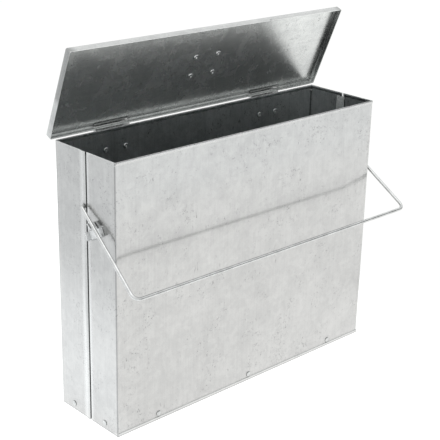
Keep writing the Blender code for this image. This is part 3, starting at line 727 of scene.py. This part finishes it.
def make_rear_shell():
    """Back panel and rear halves of the ends, with a raised hem beside each seam."""
    corners = [(HALF_WIDTH, REAR_EDGE_Y), (HALF_WIDTH, HALF_DEPTH),
               (-HALF_WIDTH, HALF_DEPTH), (-HALF_WIDTH, REAR_EDGE_Y)]
    plain = round_corners(corners, [BEND, BEND])
    marks = [SEAM_HEM_EASE, SEAM_HEM_WIDTH - SEAM_HEM_EASE, SEAM_HEM_WIDTH]
    first = [Vector((HALF_WIDTH, REAR_EDGE_Y + m)) for m in marks]
    last = [Vector((-HALF_WIDTH, REAR_EDGE_Y + m)) for m in reversed(marks)]
    path = densify([plain[0]] + first + plain[1:-1] + last + [plain[-1]], STATION_STEP)

    def weights(point, run, total):
        end = min(run, total - run)
        if end < SEAM_HEM_EASE:
            lift = 0.55 + 0.45 * end / SEAM_HEM_EASE
        else:
            lift = min(1.0, max(0.0, (SEAM_HEM_WIDTH - end) / SEAM_HEM_EASE))
        return 0.0, SHEET, 0.0, SEAM_RAISE * lift

    bm = bmesh.new()
    skin(bm, shell_loops(path, weights))
    shell = piece("rear_casing", bm, SHELL_METAL, "box", ["rear_shell"])
    for side in (-1, 1):
        cut_round(shell, (side * HALF_WIDTH, BAIL_PIVOT.y, BAIL_PIVOT.z), BAIL_HOLE, 8 * MM)


def make_seam_strip(word):
    """Backing strip behind a seam, under the top hem, with the bail's hole."""
    node = f"seam_strip_{word}"
    low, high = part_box(node)
    top = HEIGHT - HEM_HEIGHT - STRIP_TOP_CLEARANCE
    bm = bmesh.new()
    loops = []
    for z, inset in ((low.z, EASE), (low.z + EASE, 0), (top - EASE, 0), (top, EASE)):
        x0, x1 = low.x + inset * 0.5, high.x - inset * 0.5
        y0, y1 = low.y + inset, high.y - inset
        corners = [(x0 + EASE, y0), (x1 - EASE, y0), (x1, y0 + EASE), (x1, y1 - EASE),
                   (x1 - EASE, y1), (x0 + EASE, y1), (x0, y1 - EASE), (x0, y0 + EASE)]
        loops.append([Vector((x, y, z)) for x, y in corners])
    skin(bm, loops)
    strip = piece(f"seam_backing_{word}", bm, STRIP_METAL, "box", [node])
    cut_round(strip, ((low.x + high.x) / 2, BAIL_PIVOT.y, BAIL_PIVOT.z), BAIL_HOLE, 4 * MM)


def rounded_rectangle(low, high, radius, inset, segments=6):
    """Counter-clockwise outline of an inset rectangle with round corners."""
    corner = max(radius - inset, 0.15 * MM)
    x0, y0, x1, y1 = low.x + inset, low.y + inset, high.x - inset, high.y - inset
    places = [(x1, y0, -1, 1), (x1, y1, -1, -1), (x0, y1, 1, -1), (x0, y0, 1, 1)]
    outline = []
    for quarter, (x, y, sx, sy) in enumerate(places):
        start = -math.pi / 2 + quarter * math.pi / 2
        outline += arc((x + sx * corner, y + sy * corner), corner, start, start + math.pi / 2, segments)
    return outline


def make_base_pan():
    """Floor sheet with its edge turned up round a proper bend."""
    low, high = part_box("base_pan")
    inner = PAN_BEND - SHEET
    profile = [(60 * MM, 0.0), (20 * MM, 0.0), (PAN_BEND, 0.0)]
    for angle in (0.4, 0.8, 1.2, math.pi / 2):
        profile.append((PAN_BEND - PAN_BEND * math.sin(angle), PAN_BEND - PAN_BEND * math.cos(angle)))
    profile += [(0.0, high.z - 0.25 * MM), (EASE, high.z)]
    profile += [(SHEET - EASE, high.z), (SHEET, high.z - 0.25 * MM)]
    for angle in (0.0, 0.5, 1.0, math.pi / 2):
        profile.append((PAN_BEND - inner * math.cos(angle), PAN_BEND - inner * math.sin(angle)))
    profile += [(20 * MM, SHEET), (60 * MM, SHEET)]
    loops = []
    for inset, z in profile:
        loops.append([Vector((p.x, p.y, z)) for p in rounded_rectangle(low, high, BEND, inset)])
    bm = bmesh.new()
    skin(bm, loops)
    piece("floor_pan", bm, PAN_METAL, "box", ["base_pan"])


# ---------------------------------------------------------------- lid
def lid_sections(top, bottom):
    """(inset, height, hollow) of each ring of the lid, from the middle of its top to the middle below.

    The insets are written in millimetres.
    """
    under = top - SHEET
    flat = [1.6, 4, 9, 16, 26, 38, 52, 63]
    skirt = [(0.75, top - 0.06 * MM), (0.28, top - 0.3 * MM), (0.0, top - 0.95 * MM)]
    skirt += [(0.0, bottom + 0.6 * MM), (0.15, bottom + 0.15 * MM), (0.7, bottom)]
    skirt += [(1.25, bottom + 0.15 * MM), (1.4, bottom + 0.6 * MM), (1.4, bottom + LID_HEM - 0.3 * MM)]
    skirt += [(1.2, bottom + LID_HEM), (0.7, bottom + LID_HEM + 0.2 * MM)]
    skirt += [(0.7, under - 0.8 * MM), (0.95, under - 0.2 * MM)]
    sections = [(inset * MM, top, True) for inset in reversed(flat)]
    sections += [(inset * MM, z, False) for inset, z in skirt]
    sections += [(inset * MM, under, True) for inset in flat]
    return sections


def lid_ring(outline, low, high, inset, height, hollow):
    """The lid's outline moved inwards at one height, kept round at its corners."""
    x_room = (high.x - low.x) / 2
    y_room = (high.y - low.y) / 2
    middle_y = (low.y + high.y) / 2
    ring = []
    for point in outline:
        across = point.y - middle_y
        x = max(inset - x_room, min(x_room - inset, point.x))
        y = middle_y + max(inset - y_room, min(y_room - inset, across))
        at_corner = abs(point.x) > x_room - LID_CORNER and abs(across) > y_room - LID_CORNER
        if at_corner and 0 < inset < LID_CORNER:
            centre = Vector((math.copysign(x_room - LID_CORNER, point.x),
                             middle_y + math.copysign(y_room - LID_CORNER, across)))
            shrink = (point - centre).normalized() * inset
            x, y = point.x - shrink.x, point.y - shrink.y
        sag = 0.0
        if hollow:
            sag = WAVE * min(1.0, inset / WAVE_FADE) * slow_noise(x * 6, y * 8, 5.2)
        ring.append(Vector((x, y, height - sag)))
    return ring


def cut_leaf_slit(lid, word, rear_y, under):
    """Low slit in the rear flange, just under the lid's sheet, where a hinge leaf passes through."""
    leaf_low, leaf_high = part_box(f"hinge_{word}_lid_leaf")
    centre = Vector(((leaf_low.x + leaf_high.x) / 2, rear_y - SLIT_INSET, under - SLIT_HEIGHT / 2))
    size = (leaf_high.x - leaf_low.x + 2 * SLIT_CLEARANCE, SLIT_DEPTH, SLIT_HEIGHT)
    place = LID_POSE @ Matrix.Translation(centre) @ Matrix.Diagonal((*size, 1))
    bm = bmesh.new()
    bmesh.ops.create_cube(bm, size=1, matrix=place)
    cut(lid, bm)


def make_lid():
    """Tray lid: slightly hollow sheet, bent skirt with an inner hem, and a slit for each hinge leaf."""
    low, high = local_box("lid_panel", LID_POSE)
    outline = densify(rounded_rectangle(low, high, LID_CORNER, 0), STATION_STEP, closed=True)
    half_sheet = SHEET / 2

    def under_lid(point):
        within_x = low.x + half_sheet < point.x < high.x - half_sheet
        within_y = low.y + half_sheet < point.y < high.y - half_sheet
        return within_x and within_y and point.z < high.z - half_sheet

    bm = bmesh.new()
    skin(bm, [lid_ring(outline, low, high, *section) for section in lid_sections(high.z, low.z)])
    lid = piece("tray_lid", bm, LID_METAL, "lid", ["lid_panel"], pose=LID_POSE,
                inner=under_lid)
    for word in ("left", "right"):
        cut_leaf_slit(lid, word, high.y, high.z - SHEET)


# ---------------------------------------------------------------- hinges
def knuckle_spans(first, low_x, high_x):
    """Where every second knuckle of a hinge starts and ends along X, with a gap to its neighbours."""
    pitch = (high_x - low_x) / KNUCKLES
    spans = []
    for i in range(first, KNUCKLES, 2):
        start = low_x + i * pitch + (KNUCKLE_GAP / 2 if i > 0 else 0)
        end = low_x + (i + 1) * pitch - (KNUCKLE_GAP / 2 if i < KNUCKLES - 1 else 0)
        spans.append((start, end))
    return spans


def make_wall_leaf(word):
    """Leaf on the back wall, cranked out to the hinge axis; it carries the odd knuckles."""
    node = f"hinge_{word}_body_leaf"
    low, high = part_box(node)
    wall_y = low.y + LEAF / 2 - HINGE.y
    plate = [(wall_y, low.z - HINGE.z), (wall_y, LEAF_CRANK_Z - HINGE.z),
             (-CURL, LEAF_CRANK_TOP), (-CURL, LEAF_SHOULDER)]
    curl = arc((0, 0), CURL, math.pi, math.pi - CURL_SWEEP, CURL_SEGMENTS)
    bm = bmesh.new()
    bent_strip(bm, round_corners(plate, [LEAF_CRANK_BEND] * 2, segments=6), LEAF, low.x, high.x)
    for start, end in knuckle_spans(0, low.x, high.x):
        bent_strip(bm, [Vector((-CURL, LEAF_SHOULDER))] + curl, LEAF, start, end)
    bmesh.ops.translate(bm, verts=bm.verts, vec=Vector((0, HINGE.y, HINGE.z)))
    piece(f"hinge_{word}_wall_leaf", bm, FITTING_METAL, "box", [node])


def make_tray_leaf(word):
    """Leaf under the lid's sheet, with the even knuckles."""
    node = f"hinge_{word}_lid_leaf"
    low, high = local_box(node, LID_POSE)
    plate_start = low.y + LEAF_TUCK
    plate_end = -(CURL + LEAF / 2 + KNUCKLE_GAP)
    curl = arc((0, 0), CURL, math.pi / 2, math.pi / 2 - CURL_SWEEP, CURL_SEGMENTS)
    bm = bmesh.new()
    bent_strip(bm, [Vector((plate_start, CURL)), Vector((plate_end, CURL))], LEAF, low.x, high.x)
    for start, end in knuckle_spans(1, low.x, high.x):
        bent_strip(bm, [Vector((plate_end - 2 * MM, CURL))] + curl, LEAF, start, end)
    piece(f"hinge_{word}_tray_leaf", bm, LEAF_METAL, "lid", [node], pose=LID_POSE)


def make_axle(word):
    """Hinge pin with rounded ends."""
    node = f"hinge_{word}_pin"
    low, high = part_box(node)
    half = (high.x - low.x) / 2
    radius = (high.z - low.z) / 2
    end = [(0, half), (radius * 0.5, half - 0.05 * MM), (radius * 0.85, half - 0.25 * MM),
           (radius, half - 0.7 * MM)]
    profile = end + [(r, -height) for r, height in reversed(end)]
    bm = bmesh.new()
    lathe(bm, profile, (low + high) / 2, (1, 0, 0))
    piece(f"hinge_{word}_axle", bm, WIRE_METAL, "box", [node])


def make_hinge(word):
    """Butt hinge: the two leaves and the pin that holds them together."""
    make_wall_leaf(word)
    make_tray_leaf(word)
    make_axle(word)


# ---------------------------------------------------------------- rivets
def rivet_profile(length, head, head_height, tail, tail_height, bore):
    """Domed head at the top of the length, shank, and upset tail at the bottom, hollow if it has a bore."""
    profile = [(0, length)]
    for i in range(1, 9):
        angle = math.pi / 2 * i / 8
        rise = head_height * (0.18 + 0.82 * math.cos(angle))
        profile.append((head * math.sin(angle), length - head_height + rise))
    neck = length - head_height
    profile += [(head, neck + 0.04 * MM), (head - 0.1 * MM, neck), (RIVET_SHANK, neck)]
    profile += [(RIVET_SHANK, tail_height), (tail - 0.15 * MM, tail_height), (tail, tail_height * 0.8),
                (tail * 0.96, tail_height * 0.4), (tail * 0.82, tail_height * 0.1), (tail * 0.68, 0.0)]
    if bore:
        profile += [(bore * 1.25, 0.0), (bore * 1.05, 0.12 * MM), (bore * 0.9, tail_height * 0.5),
                    (bore * 0.45, tail_height * 0.8), (0, tail_height * 0.85)]
    else:
        profile += [(tail * 0.35, 0.0), (0, 0.0)]
    return profile


def make_rivet(node, outward, body, head_height, tail_height, bore=0, tail=None, pose=None):
    """A rivet in its CAD node's box, head towards outward; a tail of its own size leaves the head full."""
    low, high = local_box(node, pose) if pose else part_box(node)
    direction = Vector(outward)
    axis = max(range(3), key=lambda i: abs(direction[i]))
    length = high[axis] - low[axis]
    radius = min(high[i] - low[i] for i in range(3) if i != axis) / 2
    foot = (low + high) / 2 - direction * length / 2
    head = radius if tail else radius * 0.955
    bm = bmesh.new()
    lathe(bm, rivet_profile(length, head, head_height, tail or radius, tail_height, bore), foot, outward)
    piece(f"{node}_fine", bm, RIVET_METAL, body, [node], pose=pose)


def make_rivets():
    """Ten in the base, one in each clip, four in the hinges and four in the lid."""
    base = {"body": "box", "head_height": 1.2 * MM, "tail_height": 1.0 * MM, "tail": 3 * MM}
    clip = {"body": "box", "head_height": 1.1 * MM, "tail_height": 1.0 * MM, "tail": 3.4 * MM}
    hinge = {"body": "box", "head_height": 1.3 * MM, "tail_height": 1.2 * MM, "bore": 1.2 * MM}
    lid = {"body": "lid", "head_height": 1.4 * MM, "tail_height": 1.4 * MM, "bore": 1.9 * MM,
           "pose": LID_POSE}
    for side, word in ((-1, "front"), (1, "rear")):
        for place in ("left", "middle", "right"):
            make_rivet(f"base_rivet_{word}_{place}", (0, side, 0), **base)
    for side, word in ((-1, "left"), (1, "right")):
        for place in ("front", "rear"):
            make_rivet(f"base_rivet_{word}_end_{place}", (side, 0, 0), **base)
        make_rivet(f"bail_stop_rivet_{word}", (side, 0, 0), **clip)
        for place in ("outer", "inner"):
            make_rivet(f"hinge_{word}_rivet_{place}", (0, 1, 0), **hinge)
    for row in ("front", "rear"):
        for word in ("left", "right"):
            make_rivet(f"lid_pull_rivet_{row}_{word}", (0, 0, 1), **lid)


# ---------------------------------------------------------------- bail, clips and ring pull
def make_bail():
    """One wire: a hook inside each end wall, two arms that splay outwards, and the crossbar."""
    arm = Vector((-BAIL_REACH, -BAIL_DROP)).normalized()
    hook = -arm * BAIL_INNER_END

    def half(side):
        return [Vector((side * BAIL_INNER_END_X, hook.x, hook.y)), Vector((side * BAIL_INNER_END_X, 0, 0)),
                Vector((side * BAIL_PIVOT_HALF_WIDTH, 0, 0)),
                Vector((side * BAIL_CORNER_HALF_WIDTH, -BAIL_REACH, -BAIL_DROP))]

    points = [BAIL_PIVOT + p for p in half(-1) + half(1)[::-1]]
    bends = BAIL_BENDS + BAIL_BENDS[::-1]
    path = densify(round_corners(points, bends, segments=12), STATION_STEP)
    bm = bmesh.new()
    tube(bm, path, WIRE / 2)
    piece("wire_bail", bm, WIRE_METAL, "bail", ["bail_wire"])


def make_pull_base():
    """Riveted plate with a pressed bridge over the ring's straight bar."""
    low, high = local_box("lid_pull_plate", LID_POSE)
    pivot = LID_POSE.inverted() @ RING_PIVOT
    face = pivot.z - RING_WIRE / 2 - RING_CLEARANCE
    foot = face - LEAF
    middle = 20 * MM
    sections = [(middle, foot), (EASE, foot), (0, foot + EASE)]
    sections += [(0, face - EASE), (EASE, face), (middle, face)]
    loops = []
    for inset, z in sections:
        loops.append([Vector((p.x, p.y, z)) for p in rounded_rectangle(low, high, PLATE_CORNER, inset)])
    bm = bmesh.new()
    skin(bm, loops)
    reach = RING_WIRE / 2 + RING_CLEARANCE + LEAF / 2
    sunk = face - 0.2 * MM
    bridge = [Vector((pivot.y + reach + BRIDGE_FOOT, sunk)), Vector((pivot.y + reach + BRIDGE_SPRING, face))]
    bridge += arc((pivot.y, pivot.z), reach, 0, math.pi, 24)
    bridge += [Vector((pivot.y - reach - BRIDGE_SPRING, face)), Vector((pivot.y - reach - BRIDGE_FOOT, sunk))]
    bent_strip(bm, bridge, LEAF, -BRIDGE_LENGTH / 2, BRIDGE_LENGTH / 2)
    piece("pull_base", bm, FITTING_METAL, "lid", ["lid_pull_plate"], pose=LID_POSE)


def make_pull_loop():
    """D ring whose straight bar turns under the bridge."""
    pivot = LID_POSE.inverted() @ RING_PIVOT
    half = RING_WIDTH / 2
    corners = [Vector((0, 0)), Vector((half, 0)), Vector((half, RING_REACH)), Vector((0, RING_REACH))]
    right = round_corners(corners, RING_BENDS, segments=12)
    left = [Vector((-p.x, p.y)) for p in reversed(right[1:-1])]
    path = [Vector((p.x, p.y, 0)) + pivot for p in right + left]
    bm = bmesh.new()
    tube(bm, densify(path, 3 * MM, closed=True), RING_WIRE / 2, closed=True)
    piece("pull_loop", bm, WIRE_METAL, "pull_ring", ["lid_pull_ring"], pose=LID_POSE)


def make_clip(word):
    """The folded clip keeps its CAD faces, with every edge eased."""
    node = f"bail_stop_{word}"
    bm = bmesh.new()
    bm.from_mesh(frame["nodes"][node].data)
    bmesh.ops.remove_doubles(bm, verts=bm.verts, dist=0.01 * MM)
    bmesh.ops.dissolve_limit(bm, angle_limit=math.radians(2), verts=bm.verts, edges=bm.edges)
    edges = [e for e in bm.edges if e.calc_face_angle(0) > math.radians(30)]
    bmesh.ops.bevel(bm, geom=edges, offset=CLIP_EASE, segments=2, affect="EDGES", clamp_overlap=True)
    piece(f"bail_clip_{word}", bm, FITTING_METAL, "box", [node])


def make_corner_welds():
    """A small weld bead near the top of each rear inside corner."""
    profile = [(0, 1.1 * MM), (0.7 * MM, 0.9 * MM), (1.2 * MM, 0.4 * MM)]
    profile += [(1.4 * MM, -0.6 * MM), (0, -0.8 * MM)]
    for side, word in ((-1, "left"), (1, "right")):
        place = Vector((side * (HALF_WIDTH - WELD_INSET), HALF_DEPTH - WELD_INSET, HEIGHT - WELD_DEPTH))
        bm = bmesh.new()
        lathe(bm, profile, place, Vector((-side, -1, 0)).normalized(), sides=20)
        piece(f"corner_weld_{word}", bm, RIVET_METAL, "box")


# ---------------------------------------------------------------- studio
def make_camera():
    """Looks down at the front and the left end of the box."""
    data = bpy.data.cameras.new("camera")
    data.lens = CAMERA_LENS
    data.sensor_width = CAMERA_SENSOR
    camera = bpy.data.objects.new("camera", data)
    bpy.context.scene.collection.objects.link(camera)
    camera.location = CAMERA_PLACE
    level = math.cos(CAMERA_ELEVATION)
    back = Vector((math.sin(CAMERA_AZIMUTH) * level, -math.cos(CAMERA_AZIMUTH) * level,
                   math.sin(CAMERA_ELEVATION)))
    right = Vector((0, 0, 1)).cross(back).normalized()
    up = back.cross(right)
    turn = Matrix((right, up, back)).transposed() @ Matrix.Rotation(CAMERA_ROLL, 3, "Z")
    camera.rotation_euler = turn.to_euler()
    bpy.context.scene.camera = camera


def stage_object(name, bm, material):
    """A mesh of the studio's own, which is no part of the feed box."""
    mesh = bpy.data.meshes.new(name)
    bm.to_mesh(mesh)
    bm.free()
    mesh.materials.append(material)
    item = bpy.data.objects.new(name, mesh)
    bpy.context.scene.collection.objects.link(item)
    return item


def floor_glow():
    """Material of a floor that gives off uneven light, which every view shows as plain white."""
    g = Graph("studio_floor")
    split = g.nodes.new("ShaderNodeSeparateXYZ")
    g.links.new(g.coordinates, split.inputs[0])
    x, y = split.outputs["X"], split.outputs["Y"]
    strength = g.ramp(x, *FLOOR_LEFT_EDGE, FLOOR_FAR_LEFT, FLOOR_LEFT)
    strength = g.math("ADD", strength, g.ramp(x, *FLOOR_UNDER_EDGE, 0.0, -FLOOR_UNDER_DROP))
    beyond = g.math("MULTIPLY", g.ramp(x, *FLOOR_RIGHT_EDGE_X), g.ramp(y, *FLOOR_RIGHT_EDGE_Y))
    strength = g.math("SUBTRACT", strength, g.math("MULTIPLY", beyond, FLOOR_RIGHT_DROP))
    tint = g.mix(g.ramp(x, *TINT_LEFT_EDGE), TINT_LEFT, TINT_NEAR)
    tint = g.mix(g.ramp(y, *TINT_FRONT_EDGE), tint, TINT_FRONT)
    emission = g.nodes.new("ShaderNodeEmission")
    g.links.new(tint, emission.inputs["Color"])
    g.links.new(strength, emission.inputs["Strength"])
    g.links.new(emission.outputs[0], g.nodes["Material Output"].inputs["Surface"])
    g.nodes.remove(g.shader)
    return g.material


def make_floor():
    """Plain pale floor just under the box."""
    bm = bmesh.new()
    bmesh.ops.create_grid(bm, x_segments=8, y_segments=8, size=FLOOR_REACH)
    floor = stage_object("studio_floor", bm, floor_glow())
    floor.location.z = -FLOOR_GAP


def make_flag():
    """Curved dark card on the front right, seen only in reflections; it draws wire with a darker line."""
    sweep = FLAG_END - FLAG_START
    turns = [math.radians(FLAG_START + sweep * i / FLAG_PANELS) for i in range(FLAG_PANELS + 1)]
    rim = [Vector((FLAG_RADIUS * math.cos(a), FLAG_RADIUS * math.sin(a), FLAG_FOOT)) for a in turns]
    bm = bmesh.new()
    lower = [bm.verts.new(p) for p in rim]
    upper = [bm.verts.new(p + Vector((0, 0, FLAG_HEIGHT))) for p in rim]
    for i in range(FLAG_PANELS):
        bm.faces.new((lower[i], lower[i + 1], upper[i + 1], upper[i]))
    g = Graph("studio_flag")
    g.shader.inputs["Base Color"].default_value = FLAG_GREY
    g.shader.inputs["Roughness"].default_value = 0.9
    flag = stage_object("studio_flag", bm, g.material)
    flag.visible_camera = False
    flag.visible_diffuse = False
    flag.visible_shadow = False


def make_light():
    """Even white surroundings and one weak softbox overhead."""
    world = bpy.data.worlds.new("studio")
    bpy.context.scene.world = world
    world.use_nodes = True
    background = world.node_tree.nodes["Background"]
    background.inputs["Color"].default_value = WORLD_COLOUR
    background.inputs["Strength"].default_value = WORLD_STRENGTH
    light = bpy.data.lights.new("softbox_top", "AREA")
    light.shape = "SQUARE"
    light.size = SOFTBOX_SIZE
    light.energy = SOFTBOX_POWER
    lamp = bpy.data.objects.new("softbox_top", light)
    bpy.context.scene.collection.objects.link(lamp)
    lamp.location = SOFTBOX_PLACE
    lamp.visible_camera = False
    aim = Vector(SOFTBOX_TARGET) - Vector(SOFTBOX_PLACE)
    lamp.rotation_euler = aim.to_track_quat("-Z", "Y").to_euler()


make_camera()
make_floor()
make_flag()
make_light()
make_front_shell()
make_rear_shell()
for end in ("left", "right"):
    make_seam_strip(end)
make_base_pan()
make_lid()
for end in ("left", "right"):
    make_hinge(end)
make_rivets()
make_bail()
for end in ("left", "right"):
    make_clip(end)
make_pull_base()
make_pull_loop()
make_corner_welds()
bpy.context.scene.view_settings.view_transform = "Standard"
